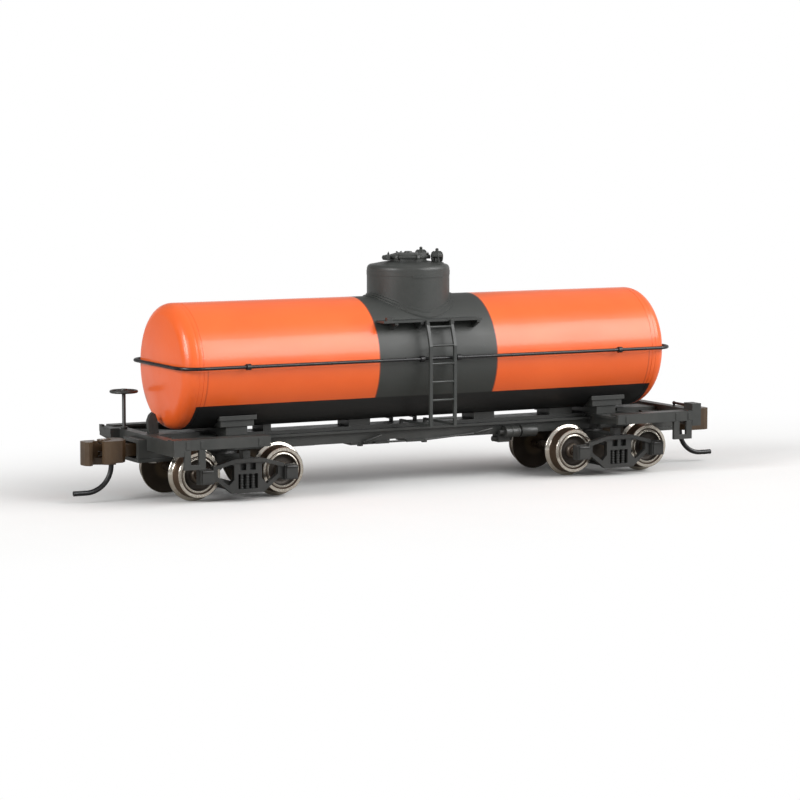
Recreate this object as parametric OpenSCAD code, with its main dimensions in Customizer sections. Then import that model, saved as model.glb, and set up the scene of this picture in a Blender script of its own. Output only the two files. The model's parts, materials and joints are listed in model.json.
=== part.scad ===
// Four-axle tank wagon, N scale (1:160, 9 mm gauge), millimetres.
// Origin: middle of the wagon, at the level of the wheel flanges' lowest points.
// +X runs along the track, +Z is up. The -X end is the brake end (b), the +X end is a.
// Heights named *_z are measured from the rail head, which lies one flange depth above the origin.

/* [Tank] */
// Outside radius of the tank
tank_r = 7.23; // [7.1:0.01:7.3]
// Height of the tank's axis above the rail head
tank_z = 14.55; // [14.5:0.01:14.7]
// Half the length of the straight barrel
barrel_half = 30.25; // [29.5:0.05:30.4]
// How far the tank sits off the middle of the underframe, towards the +X end
tank_x = -0.25; // [-0.4:0.05:0.4]
// Wall thickness of the barrel
shell_wall = 0.8; // [0.6:0.05:1]
// How far a tank head bulges beyond the barrel
head_depth = 1.95; // [1.8:0.05:2]
// Radius of the rounded corner of a tank head
head_corner_r = 1.62; // [1.2:0.02:1.7]

/* [Dome] */
// Outside radius of the dome
dome_r = 4.9; // [4.5:0.01:4.95]
// Height of the dome's rim above the rail head
dome_rim_z = 25.45; // [25.2:0.05:25.6]
// Radius of the hatch on the dome
hatch_r = 2.2; // [1.8:0.05:2.3]

/* [Fittings] */
// Height of the handrail above the rail head
rail_z = 14.85; // [14.6:0.05:15.2]
// Distance of the handrail from the middle of the wagon
rail_y = 8; // [7.9:0.05:8.2]
// Radius of the handrail
rail_r = 0.2; // [0.15:0.01:0.22]
// Height of the walkways beside the dome
walkway_z = 19.35; // [19.1:0.05:19.6]
// Length of a walkway
walkway_len = 13; // [12:0.1:14]
// Width of a ladder between the middles of its sides
ladder_w = 3.2; // [2.8:0.1:3.6]
// Number of rungs on a ladder
rungs = 6; // [5:1:7]

/* [Underframe] */
// Half the length over the end sills
frame_half = 34.85; // [34.6:0.05:35]
// Half the width over the side sills
frame_y = 9.9; // [9.7:0.05:10.1]
// Distance of a truck's centre from the middle of the wagon
truck_x = 24.7; // [24.2:0.1:25]
// Height of the centre sill's top above the rail head
sill_z = 6.68; // [6.6:0.01:6.75]

/* [Trucks] */
// Distance between the two axles of a truck
wheelbase = 10.48; // [10.2:0.01:10.6]
// Radius of a wheel's tread
wheel_r = 2.62; // [2.55:0.01:2.65]
// Depth of the wheel flange
flange_h = 0.5; // [0.4:0.05:0.55]
// Distance between the backs of two wheels
back_to_back = 7.66; // [7.6:0.02:7.7]
// Clearance between parts that turn on each other
run_gap = 0.05; // [0.03:0.01:0.08]

/* [Couplers] */
// Distance of a coupler's pivot from the middle of the wagon
coupler_x = 33; // [32.9:0.05:33.1]
// Radius of the trip pin's wire
trip_r = 0.29; // [0.2:0.01:0.3]

/* [Hidden] */
$fn = 64;
fit_gap = 0.01;
eps = 0.01;

axle_dx = wheelbase / 2;
axle_z = wheel_r;
flange_r = wheel_r + flange_h;
wheel_back = back_to_back / 2;
wheel_w = 1.87;
wheel_face = wheel_back + wheel_w;
axle_r = 0.4;
journal_r = 0.25;
journal_end = 7.12;
axle_tip = 7.4;

side_in = 6.75;
side_out = 7.45;
box_out = 7.95;
bolster_top = 4.4;
centre_plate_top = 4.7;
king_r = 0.9;
king_head_r = 1.4;

sill_bottom = 4.75;
sill_half = 31.2;
sill_w = 1.6;
end_sill_in = 33.6;
end_sill_z = 7.3;
brake_end_z = 7.05;
side_sill_z = 7.2;
side_sill_in = 23;
side_sill_bottom = 6;

box_w = 4.2;
box_top = 6.6;
box_bottom = 3.95;
lid_t = 0.45;
box_front = 35.9;
post_r = 0.6;
head_top = 6.57;
head_bottom = 4.05;
jaw_top = 6.42;
jaw_bottom = 3.72;
knuckle_x = 38.95;
knuckle_y = -1.15;
knuckle_pin_r = 0.3;
tail_z = 4.5;
trip_x = 38.3;
trip_bend = 3.04;
trip_end = 42.9;
spring_x0 = 34.3;
spring_x1 = 35.7;
spring_r = 0.3;
spring_turns = 5;
wire_r = 0.05;

dome_wall = 0.8;
dome_base_r = dome_r + 0.53;
dome_hole_r = 4;
dome_top_z = dome_rim_z + 0.4;
valve_at = [2.8, 2];
valve_z = dome_top_z - 0.42;

step_x = [31, end_sill_in - 0.02];
post_xs = [-24.6, -2.4, 2.4, 24.6];
// Seats under the belly as [place, half length]
seats = [[-19.5, 0.5], [-7.5, 1.4], [9.3, 1.4], [20, 1.6]];
pad_xs = [-16, 16];
pad_half = 2.5;

// ---------------------------------------------------------------- helpers
module on_rails() translate([0, 0, flange_h]) children();

module on_tank() translate([tank_x, 0, flange_h]) children();

module box(lo, hi) translate(lo) cube(hi - lo);

module both_sides() for (s = [0, 1]) mirror([0, s, 0]) children();

module at_end(end) rotate([0, 0, end == "a" ? 0 : 180]) children();

module along_x(x0, x1, r) translate([x0, 0, 0]) rotate([0, 90, 0]) cylinder(r = r, h = x1 - x0);

module tank_solid(r, half = 40) translate([0, 0, tank_z]) along_x(-half, half, r);

// Round bar between two points
module bar(a, b, r) {
    d = b - a;
    len = norm(d);
    translate(a) rotate([0, acos(d.z / len), atan2(d.y, d.x)]) cylinder(r = r, h = len);
}

function arc(cx, cy, r, a0, a1, n) =
    [for (i = [0:n]) let (a = a0 + (a1 - a0) * i / n) [cx + r * cos(a), cy + r * sin(a)]];

// ---------------------------------------------------------------- tank
module tank_barrel() color("orangered") on_tank() difference() {
    tank_solid(tank_r, barrel_half);
    tank_solid(tank_r - shell_wall, barrel_half + 1);
    translate([0, 0, tank_z]) cylinder(r = dome_hole_r + fit_gap, h = tank_r + 1);
}

// Outline of a head as [radius, depth]: rounded corner, then a shallow crown tangent to it
function head_outline() = let (
        r = tank_r - head_corner_r,
        crown_r = (r * r + head_depth * head_depth - head_corner_r * head_corner_r)
            / (2 * (head_depth - head_corner_r)),
        a = atan2(crown_r - head_depth, r))
    concat([[0, 0], [tank_r, 0]],
        arc(r, 0, head_corner_r, 0, a, 10),
        arc(0, head_depth - crown_r, crown_r, a, 90, 8));

module tank_head(end) color("orangered") on_tank() at_end(end)
    translate([barrel_half, 0, tank_z]) rotate([0, 90, 0]) {
        rotate_extrude() polygon(head_outline());
        translate([0, 0, -1.2]) difference() {
            cylinder(r = tank_r - shell_wall - fit_gap, h = 1.2 + eps);
            translate([0, 0, -eps]) cylinder(r = tank_r - shell_wall - 0.8, h = 1.2 + eps);
        }
    }

module tank_head_a() tank_head("a");
module tank_head_b() tank_head("b");

// Steel bar that rests in the bottom of the barrel and gives the wagon its weight
module ballast_weight() color("slategray") on_tank() intersection() {
    tank_solid(tank_r - shell_wall - 0.02, 24);
    box([-24, -5, tank_z - tank_r], [24, 5, tank_z - 3.2]);
}

// ---------------------------------------------------------------- dome
// Outline of the upper dome as [radius, height]: plain wall, thin band, rounded shoulder, cone
shoulder = 0.55;
dome_outline = concat(
    [[0, tank_z], [dome_r, tank_z], [dome_r, dome_rim_z - 1.27], [dome_r + 0.03, dome_rim_z - 1.24],
        [dome_r + 0.03, dome_rim_z - 0.74], [dome_r, dome_rim_z - 0.71]],
    arc(dome_r - shoulder, dome_rim_z - shoulder, shoulder, 0, 70, 6),
    [[hatch_r, dome_top_z], [0, dome_top_z]]);

module dome() color("dimgray") on_tank() difference() {
    union() {
        difference() {
            union() {
                rotate_extrude() polygon(dome_outline);
                // Thin flange that follows the tank's curve around the dome's foot
                intersection() {
                    translate([0, 0, tank_z]) cylinder(r = dome_base_r, h = 10);
                    tank_solid(tank_r + 0.16);
                }
                intersection() {
                    translate([0, 0, tank_z]) cylinder(r = dome_r + 0.16, h = 10);
                    tank_solid(tank_r + 0.36);
                }
            }
            tank_solid(tank_r + fit_gap);
        }
        // Short raised bar on the wall, above the middle
        intersection() {
            translate([0, 0, 24.05]) cylinder(r = dome_r + 0.1, h = 0.16);
            box([-1.8, -6, 24], [2.3, 6, 24.3]);
        }
        // Spigot that locates the dome in the barrel
        translate([0, 0, tank_z + tank_r - shell_wall - 1.8])
            cylinder(r = dome_hole_r, h = shell_wall + 2.2);
    }
    translate([0, 0, tank_z - 1])
        cylinder(r = dome_hole_r - dome_wall, h = dome_rim_z - tank_z + 0.4);
    // Flat seats for the safety valves
    for (s = [-1, 1]) translate([valve_at.x, s * valve_at.y, valve_z - fit_gap]) cylinder(r = 0.87, h = 1);
}

module dome_hatch() color("dimgray") on_tank() translate([0, 0, dome_top_z]) {
    cylinder(r = hatch_r, h = 0.35);
    translate([0, 0, 0.35 - eps]) cylinder(r = hatch_r + 0.2, h = 0.35);
    translate([0, 0, 0.7 - 2 * eps]) cylinder(r1 = hatch_r, r2 = hatch_r - 0.5, h = 0.25);
    translate([0, 0, 0.9]) cylinder(r = 0.4, h = 0.2);
    // Hinge lug and its pin
    translate([-hatch_r - 0.75, 0, 0.4]) rotate([90, 0, 0]) cylinder(r = 0.32, h = 1.2, center = true);
    box([-hatch_r - 0.75, -0.35, 0.3], [-hatch_r + 0.2, 0.35, 0.66]);
    // Wing nuts around the edge
    for (a = [0, 60, 120, 240, 300]) rotate([0, 0, a]) translate([hatch_r - 0.05, 0, 0.65]) {
        cylinder(r = 0.2, h = 0.3, $fn = 6);
    }
}

module safety_valves() color("dimgray") on_tank() for (s = [-1, 1])
    translate([valve_at.x, s * valve_at.y, valve_z]) {
        cylinder(r = 0.85, h = 0.3);
        cylinder(r = 0.62, h = 1.25);
        translate([0, 0, 1.05]) cylinder(r = 0.72, h = 0.22);
        translate([0, 0, 1.25]) cylinder(r1 = 0.6, r2 = 0.25, h = 0.35);
        translate([0, 0, 1.5]) cylinder(r = 0.2, h = 0.42);
    }

// ---------------------------------------------------------------- walkways, ladders, handrail
walkway_t = 0.25;
walkway_in = sqrt(pow(tank_r, 2) - pow(walkway_z - walkway_t - tank_z, 2)) + 0.02;
walkway_out = 7.6;
walkway_x = -0.7;

module walkway() translate([walkway_x, 0, 0]) {
    half = walkway_len / 2;
    box([-half, walkway_in, walkway_z - walkway_t], [half, walkway_out, walkway_z]);
    // Angle brackets down to the tank's side
    for (x = [-half + 1.75, -1.4, 2.6, half - 0.4]) difference() {
        translate([x - 0.2, 0, 0]) rotate([90, 0, 90]) linear_extrude(0.4)
            polygon([[walkway_in - 0.3, walkway_z - 0.2], [walkway_out - 0.1, walkway_z - 0.2],
                [walkway_out - 0.1, walkway_z - 0.5], [walkway_in + 0.75, walkway_z - 1.1],
                [walkway_in - 0.3, walkway_z - 1.1]]);
        tank_solid(tank_r + 0.02);
    }
    // Stop block on one end of the board
    box([-half + 0.45, walkway_out - 0.6, walkway_z - eps],
        [-half + 1.2, walkway_out - 0.05, walkway_z + 0.4]);
}

module walkway_near() color("dimgray") on_tank() mirror([0, 1, 0]) walkway();
module walkway_far() color("dimgray") on_tank() mirror([1, 0, 0]) walkway();

ladder_y = 8.6;
ladder_head = [walkway_out + 0.22, walkway_z - 0.05];
ladder_bend = [ladder_head, [ladder_head.x, 18.75], [ladder_y, 16.3]];
ladder_foot_z = 6.95;
ladder_t = 0.36;
rung_z0 = 7.9;
rung_z1 = 18.5;

// Distance from the middle of the wagon to the ladder at a given height
function ladder_out(z) = lookup(z, [for (p = ladder_bend) [p.y, p.x]]);

module ladder() {
    half_t = ladder_t / 2;
    for (s = [-1, 1]) translate([s * ladder_w / 2, 0, 0]) {
        translate([-half_t, 0, 0]) rotate([90, 0, 90]) linear_extrude(ladder_t)
            polygon(concat(
                [for (p = ladder_bend) [p.x + half_t, p.y]],
                [[ladder_y + half_t, ladder_foot_z], [ladder_y - half_t, ladder_foot_z]],
                [for (i = [2, 1, 0]) [ladder_bend[i].x - half_t, ladder_bend[i].y]]));
        // Foot that reaches in and stands on the centre sill
        box([-half_t, sill_w - 0.5, ladder_foot_z], [half_t, ladder_y, ladder_foot_z + 0.22]);
        box([-half_t, sill_w - 0.5, sill_z + fit_gap], [half_t, sill_w - 0.1, ladder_foot_z + 0.22]);
    }
    for (i = [0:rungs - 1]) {
        z = rung_z0 + (rung_z1 - rung_z0) * i / (rungs - 1);
        translate([0, ladder_out(z), z]) along_x(-ladder_w / 2, ladder_w / 2, 0.15);
    }
}

module ladder_near() color("dimgray") on_tank() mirror([0, 1, 0]) ladder();
module ladder_far() color("dimgray") on_tank() ladder();

rail_end = barrel_half + head_depth + rail_r + 0.1;
rail_bend = 2.5;

// One closed loop of wire round the whole tank
module handrail() color("black") on_tank() translate([0, 0, rail_z]) {
    both_sides() translate([0, rail_y, 0]) along_x(-rail_end + rail_bend, rail_end - rail_bend, rail_r);
    for (end = ["a", "b"]) at_end(end) {
        bar([rail_end, -rail_y + rail_bend, 0], [rail_end, rail_y - rail_bend, 0], rail_r);
        both_sides() translate([rail_end - rail_bend, rail_y - rail_bend, 0])
            rotate_extrude(angle = 90) translate([rail_bend, 0]) circle(r = rail_r, $fn = 24);
    }
}

// Stanchions with an eye that the handrail passes through
module handrail_posts() color("black") on_tank() both_sides() for (x = post_xs) difference() {
    union() {
        translate([x, rail_y, rail_z]) along_x(-0.25, 0.25, rail_r + 0.16);
        bar([x, tank_r - 0.3, rail_z], [x, rail_y - rail_r - 0.05, rail_z], 0.2);
    }
    translate([0, rail_y, rail_z]) along_x(x - 1, x + 1, rail_r + fit_gap);
    tank_solid(tank_r + fit_gap);
}

// ---------------------------------------------------------------- underframe
module centre_sill() {
    box([-sill_half, -sill_w, 6.2], [sill_half, sill_w, sill_z]);
    box([-sill_half, -2.5, 6], [sill_half, 2.5, 6.27]);
    difference() {
        box([-sill_half, -1.9, sill_bottom], [sill_half, 1.9, 6.1]);
        // Notch in the lower edge between the brake levers
        box([-3.7, -3, sill_bottom - 1], [-1.7, 3, sill_bottom + 0.18]);
    }
    // Level pads where a stand can bear
    for (x = pad_xs)
        box([x - pad_half, -1.7, sill_bottom - 0.05], [x + pad_half, 1.7, sill_bottom + eps]);
}

module end_sill(top) {
    difference() {
        box([end_sill_in, -frame_y, 5.35], [frame_half, frame_y, top]);
        box([0, -box_w / 2 - 0.05, 0], [frame_half + 1, box_w / 2 + 0.05, box_top + 0.02]);
    }
    // Raised strip over the draught box
    box([28, -sill_w, box_top + 0.02], [end_sill_in + eps, sill_w, sill_z + 0.34]);
}

// Blocks on top of the end sill and ribs on its face, at the end without the hand brake
module corner_blocks() both_sides() {
    box([end_sill_in, frame_y - 1.9, end_sill_z - eps], [frame_half, frame_y, 8.05]);
    box([frame_half - eps, frame_y - 3.4, 5.6], [frame_half + 0.12, frame_y - 2.9, 6.7]);
}

module side_sill() both_sides() {
    box([side_sill_in, frame_y - 0.45, side_sill_bottom], [frame_half - eps, frame_y, side_sill_z]);
    box([side_sill_in, frame_y - 1.8, side_sill_z - 0.25], [frame_half - eps, frame_y, side_sill_z]);
    // Shallow pads where the stirrups and the bolster meet the plate
    for (x = [truck_x - 0.6, step_x[0] + 0.2, step_x[1] - 0.6])
        box([x, frame_y - eps, side_sill_bottom + 0.15], [x + 0.4, frame_y + 0.08, side_sill_z - 0.2]);
}

module bolster() both_sides() {
    box([truck_x - 1.35, 0, 6.45], [truck_x + 1.35, frame_y - 0.4, 6.75]);
    translate([truck_x - 0.9, 0, 0]) rotate([90, 0, 90]) linear_extrude(1.8)
        polygon([[0, 5.3], [2.6, 5.3], [frame_y - 0.4, 6.1], [frame_y - 0.4, 6.6], [0, 6.6]]);
}

// Flat diagonal from the bolster out to the end sill's corner
module diagonals() both_sides()
    translate([0, 0, sill_z - 0.24]) linear_extrude(0.24)
        polygon([[truck_x + 1, sill_w - 0.1], [truck_x + 2.6, sill_w - 0.1],
            [end_sill_in + eps, frame_y - 2], [end_sill_in + eps, frame_y - 0.8],
            [end_sill_in - 0.8, frame_y - 0.8]]);

// Upright plate on the sill at the hand brake's end, close in front of the tank head
module head_brace() translate([0, 0.3, 0]) rotate([90, 0, 0]) linear_extrude(0.6)
    polygon([[32.7, 8.5], [32.95, 9.2], [33.25, 9.42], [33.62, 9.1], [33.88, 8.45], [33.82, 7.9],
        [33.75, 6.95], [33.7, sill_z], [32.5, sill_z]]);

module underframe() color("darkslategray") on_rails() difference() {
    union() {
        centre_sill();
        for (end = ["a", "b"]) at_end(end) {
            end_sill(end == "a" ? end_sill_z : brake_end_z);
            side_sill();
            bolster();
            diagonals();
            translate([truck_x, 0, sill_bottom]) cylinder(r = 2.1, h = 0.6);
        }
        at_end("a") corner_blocks();
        at_end("b") head_brace();
        // Seats between the sill and the tank's belly
        difference() {
            for (seat = seats)
                box([seat[0] - seat[1], -1.5, sill_z - 0.2], [seat[0] + seat[1], 1.5, sill_z + 1]);
            tank_solid(tank_r + 0.02);
        }
    }
    for (end = ["a", "b"]) at_end(end) {
        translate([truck_x, 0, 4]) cylinder(r = king_r + fit_gap, h = 2.55);
        translate([coupler_x, 0, 6]) cylinder(r = 0.36, h = 0.9);
    }
}

// Stepped cradle over a bolster, hollowed to the tank's radius
module saddle(end) color("darkslategray") on_rails() at_end(end) difference() {
    both_sides() {
        box([truck_x - 2.35, 0, 8.5], [truck_x + 2.35, 4.85, 9.05]);
        box([truck_x - 2.1, 0, 7.75], [truck_x + 2.1, 4.6, 8.52]);
        box([truck_x - 1.36, 0, 6.76], [truck_x + 1.36, 4.4, 7.77]);
    }
    tank_solid(tank_r + 0.02);
}

module saddle_a() saddle("a");
module saddle_b() saddle("b");

// Four U-shaped corner steps
module stirrup_steps() color("darkslategray") on_rails()
    for (end = ["a", "b"]) at_end(end) both_sides() {
        y0 = frame_y - 0.45;
        y1 = frame_y - 0.02;
        top = side_sill_bottom - fit_gap;
        for (x = [step_x[0], step_x[1] - 0.8]) box([x, y0, 3.8], [x + 0.8, y1, top]);
        box([step_x[0], y0, 3.8], [step_x[1], y1, 4.35]);
    }

// Bent rods on top of the end sill, beside its corner blocks
module grab_irons() color("black") on_rails() both_sides() {
    z = end_sill_z + 0.38;
    bar([34.2, 4.9, z], [34.2, frame_y - 1.92, z], 0.15);
    bar([34.2, 4.9, end_sill_z + fit_gap], [34.2, 4.9, z], 0.15);
    translate([34.2, 4.9, z]) sphere(r = 0.22, $fn = 24);
}

// ---------------------------------------------------------------- hand brake and air brake
staff = [-34.45, 5.4];
staff_r = 0.22;
staff_top = 11.37;
brake_wheel_r = 1.65;

// Small platform for the brakeman at the brake end, on a bracket that hangs from the sill's face
module brake_step() color("darkslategray") on_rails() {
    back = -frame_half - fit_gap;
    box([-36, 5.8, 6.5], [back, 9.2, 7.1]);
    translate([back, 9.2, 0]) rotate([90, 0, 0])
        linear_extrude(3.4) polygon([[0, 6.6], [-1.1, 6.6], [-1.1, 6.05], [-0.3, 5.6], [0, 5.6]]);
    box([-36, 8.5, 7], [-35.6, 9.2, 7.3]);
}

module brake_staff() color("black") on_rails() translate([staff.x, staff.y, brake_end_z]) {
    translate([0, 0, fit_gap]) cylinder(r = 0.39, h = 0.25);
    translate([0, 0, fit_gap + eps]) cylinder(r = staff_r, h = staff_top - brake_end_z - 0.08);
}

module brake_wheel() color("black") on_rails() translate([staff.x, staff.y, staff_top]) {
    rotate_extrude() translate([brake_wheel_r - 0.17, 0]) circle(r = 0.17, $fn = 24);
    difference() {
        translate([0, 0, -0.25]) cylinder(r = 0.42, h = 0.55);
        translate([0, 0, -0.3]) cylinder(r = staff_r + fit_gap, h = 0.25);
    }
    for (a = [0:90:270]) rotate([0, 0, a + 20]) bar([0.2, 0, 0.03], [brake_wheel_r - 0.2, 0, 0], 0.13);
}

gear_y = 3;
gear_z = 5.1;

module brake_cylinder() color("darkslategray") on_rails() translate([0, gear_y + 0.2, gear_z]) {
    along_x(-10.2, -7.9, 0.68);
    along_x(-8.1, -7.8, 0.8);
    along_x(-7.9, -7.4, 0.35);
    box([-9.9, -1.29, 0.1], [-8.2, 0, 0.6]);
}

module air_reservoir() color("darkslategray") on_rails() translate([0, -gear_y, gear_z]) {
    along_x(11.2, 13.1, 0.66);
    for (x = [11.2, 12.1, 12.95]) along_x(x, x + 0.15, 0.7);
    along_x(13, 13.6, 0.5);
    along_x(13.4, 15.5, 0.7);
    along_x(10.5, 11.3, 0.28);
    box([11.6, 0, 0.1], [15.2, 1.09, 0.6]);
}

module control_valve() color("darkslategray") on_rails() {
    box([10.8, -2.4, 3.8], [12.4, -0.9, 4.74]);
    translate([0, -1.7, 4.2]) along_x(10.3, 12.9, 0.32);
}

// Levers under the sill and the sloping rods that join them
module brake_rods() color("darkslategray") on_rails() {
    box([-8.8, -1.8, 4.45], [-5.7, 1.6, 4.74]);
    box([-5.8, -2.3, 4.5], [-4, 2.3, 4.74]);
    box([-1.5, -2.1, 4.48], [0.8, 0.8, 4.74]);
    for (x = [-7.5, 1.05]) translate([x, -1.6, 4.3]) cylinder(r = 0.35, h = 0.44);
    bar([-7.3, -2.5, 4.89], [-5.18, -2.5, 5.54], 0.16);
    bar([-7.3, -2.5, 4.89], [-6.6, -1.7, 4.6], 0.16);
    bar([7.35, -2.5, 5.1], [9.83, -2.5, 5.56], 0.14);
    bar([0.6, -1.7, 4.56], [7.35, -2.5, 5.1], 0.12);
    bar([-4.2, -1.7, 4.6], [-1.3, -1.7, 4.6], 0.12);
}

// ---------------------------------------------------------------- trucks
// Half the side frame's outline, [along the track, height], from its middle outward
side_half = [[0, 4.45], [1.75, 4.42], [4.4, 3.7], [4.5, 3.5], [6.1, 3.5], [6.1, 1.75],
    [4.4, 1.75], [3.9, 2.05], [1.95, 0.5], [0, 0.5]];
side_hole = [[3.75, 3.4], [2.3, 3.9], [1.72, 3.7], [1.72, 2.1], [2.35, 1.45], [3.75, 2.5]];

module side_frame_2d() for (s = [0, 1]) mirror([s, 0]) difference() {
    polygon(concat([[-eps, 0.5], [-eps, 4.45]], side_half));
    polygon(side_hole);
    translate([0.22, 3.1]) square([0.75, 0.78]);
    translate([-1, 0.98]) square([2.22, 1.7]);
}

module side_frame() {
    translate([0, side_out, 0]) rotate([90, 0, 0]) linear_extrude(side_out - side_in) side_frame_2d();
    // Raised edge along the top chord and the journal boxes
    translate([0, side_out + 0.22, 0]) rotate([90, 0, 0]) linear_extrude(0.23)
        for (s = [0, 1]) mirror([s, 0])
            polygon([[-eps, 4.45], [1.75, 4.42], [4.4, 3.7], [4.4, 3.25], [1.75, 3.98], [-eps, 4]]);
    for (s = [-1, 1]) translate([s * axle_dx, 0, 0]) {
        box([-0.8, side_in, 1.8], [0.8, box_out, 3.4]);
        box([-0.65, box_out - eps, 1.95], [0.65, box_out + 0.12, 3.1]);
        translate([0, box_out, 3.25]) rotate([0, 90, 0]) cylinder(r = 0.2, h = 1.3, center = true);
    }
    // Springs between the bolster and the frame
    for (x = [-0.72, 0, 0.72]) translate([x, side_in + 0.36, 0.9]) {
        cylinder(r = 0.17, h = 1.85);
        for (i = [0:5]) translate([0, 0, 0.12 + 0.3 * i]) cylinder(r = 0.25, h = 0.14);
    }
    box([-0.45, side_in - 0.7, 4.3], [0.45, side_in + 0.3, 5.25]);
}

module truck_frame(x) color("darkslategray") on_rails() translate([x, 0, 0]) difference() {
    union() {
        both_sides() side_frame();
        box([-1.2, -side_in - 0.1, 3.1], [1.2, side_in + 0.1, bolster_top]);
        // Spring plank across the truck, and the wall behind each set of springs
        box([-1.2, -side_in - 0.05, 0.55], [1.2, side_in + 0.05, 0.95]);
        both_sides() box([-1.3, side_in - 0.3, 0.9], [1.3, side_in + 0.05, 3.15]);
        translate([0, 0, bolster_top - eps]) cylinder(r = 1.9, h = centre_plate_top - bolster_top);
    }
    translate([0, 0, 2]) cylinder(r = king_r + run_gap, h = 4);
    translate([0, 0, 2]) cylinder(r = king_head_r + run_gap, h = 1.55);
    // Bearings: a bore that ends in a cone
    for (s = [-1, 1]) both_sides() translate([s * axle_dx, side_in - eps, axle_z]) rotate([-90, 0, 0]) {
        cylinder(r = journal_r + run_gap, h = journal_end - side_in + 0.06);
        translate([0, 0, journal_end - side_in + 0.05])
            cylinder(r1 = journal_r + run_gap, r2 = 0.02, h = axle_tip - journal_end + 0.03);
    }
}

module truck_frame_a() truck_frame(truck_x);
module truck_frame_b() truck_frame(-truck_x);

// Pin that is pressed into the underframe from below and carries the truck
module truck_pin(x) color("dimgray") on_rails() translate([x, 0, 0]) difference() {
    union() {
        translate([0, 0, 3.05]) cylinder(r = king_head_r, h = 0.45);
        translate([0, 0, 3.05]) cylinder(r = king_r, h = 3.4);
    }
    box([-1.6, -0.18, 2.9], [1.6, 0.18, 3.2]);
}

module truck_pin_a() truck_pin(truck_x);
module truck_pin_b() truck_pin(-truck_x);

// Wheel section as [radius, distance from the middle of the axle]
wheel_section = concat(
    [[axle_r + fit_gap, wheel_back], [flange_r - 0.25, wheel_back]],
    arc(flange_r - 0.16, wheel_back + 0.16, 0.16, -60, 60, 6),
    [[wheel_r + 0.12, wheel_back + 0.42], [wheel_r + 0.03, wheel_back + 0.56],
        [wheel_r - 0.04, wheel_face - 0.06], [wheel_r - 0.1, wheel_face],
        [2.12, wheel_face], [2.06, wheel_face - 0.14], [1.98, wheel_face - 0.14],
        [1.94, wheel_face - 0.02], [1.84, wheel_face - 0.02]],
    arc(1.3, wheel_face - 0.02, 0.52, 0, -90, 6),
    [[0.95, wheel_face - 0.5], [0.8, wheel_face - 0.1], [axle_r + fit_gap, wheel_face - 0.05]]);

module axle_at(x) on_rails() translate([x, 0, axle_z]) rotate([-90, 0, 0]) children();

module wheels(x) color("silver") axle_at(x) for (s = [0, 1]) mirror([0, 0, s])
    rotate_extrude($fn = 96) polygon(wheel_section);

module axle(x) color("darkgray") axle_at(x) {
    cylinder(r = axle_r, h = 2 * wheel_face + 0.2, center = true);
    cylinder(r = 0.55, h = 2 * wheel_back - 0.04, center = true);
    for (s = [0, 1]) mirror([0, 0, s]) {
        cylinder(r = journal_r, h = journal_end);
        translate([0, 0, journal_end - eps]) cylinder(r1 = journal_r, r2 = 0.03, h = axle_tip - journal_end);
    }
}

axle_xs = [-truck_x - axle_dx, -truck_x + axle_dx, truck_x - axle_dx, truck_x + axle_dx];

module axle_1() axle(axle_xs[0]);
module axle_2() axle(axle_xs[1]);
module axle_3() axle(axle_xs[2]);
module axle_4() axle(axle_xs[3]);
module wheels_1() wheels(axle_xs[0]);
module wheels_2() wheels(axle_xs[1]);
module wheels_3() wheels(axle_xs[2]);
module wheels_4() wheels(axle_xs[3]);

// ---------------------------------------------------------------- couplers
lid_top = box_bottom + lid_t;

// Upper half of the draught box, with the hollow post that the coupler swings on
module coupler_box(end) color("darkslategray") on_rails() at_end(end) difference() {
    union() {
        difference() {
            box([sill_half + 0.1, -box_w / 2, lid_top + fit_gap], [box_front, box_w / 2, box_top]);
            box([sill_half + 0.6, -1.55, 0], [box_front + 1, 1.55, 6.15]);
        }
        translate([coupler_x, 0, lid_top + fit_gap]) cylinder(r = post_r, h = 1.9);
    }
    translate([coupler_x, 0, 3]) cylinder(r = 0.36, h = 5);
}

module coupler_box_a() coupler_box("a");
module coupler_box_b() coupler_box("b");

module coupler_lid(end) color("darkslategray") on_rails() at_end(end) difference() {
    box([sill_half + 0.1, -box_w / 2, box_bottom], [box_front, box_w / 2, lid_top]);
    translate([coupler_x, 0, 3]) cylinder(r = 0.36, h = 3);
}

module coupler_lid_a() coupler_lid("a");
module coupler_lid_b() coupler_lid("b");

module coupler_screw(end) color("silver") on_rails() at_end(end) translate([coupler_x, 0, 0]) difference() {
    union() {
        translate([0, 0, box_bottom - 0.32]) cylinder(r = 0.75, h = 0.31);
        translate([0, 0, box_bottom - 0.1]) cylinder(r = 0.35, h = 2.9);
    }
    box([-1, -0.1, 3], [1, 0.1, box_bottom - 0.17]);
}

module coupler_screw_a() coupler_screw("a");
module coupler_screw_b() coupler_screw("b");

// Shank with the fixed jaw and guard arm; seen from above, the knuckle sits at its -Y side
guard_outline = [[36.7, -0.9], [37.3, -1.65], [38.1, -1.65], [38.1, -0.4], [38.55, 0.35], [38.95, 0.8],
    [39.55, 1.0], [39.9, 1.3], [39.8, 1.75], [39.1, 1.85], [37.6, 1.7], [36.9, 0.9]];

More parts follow.
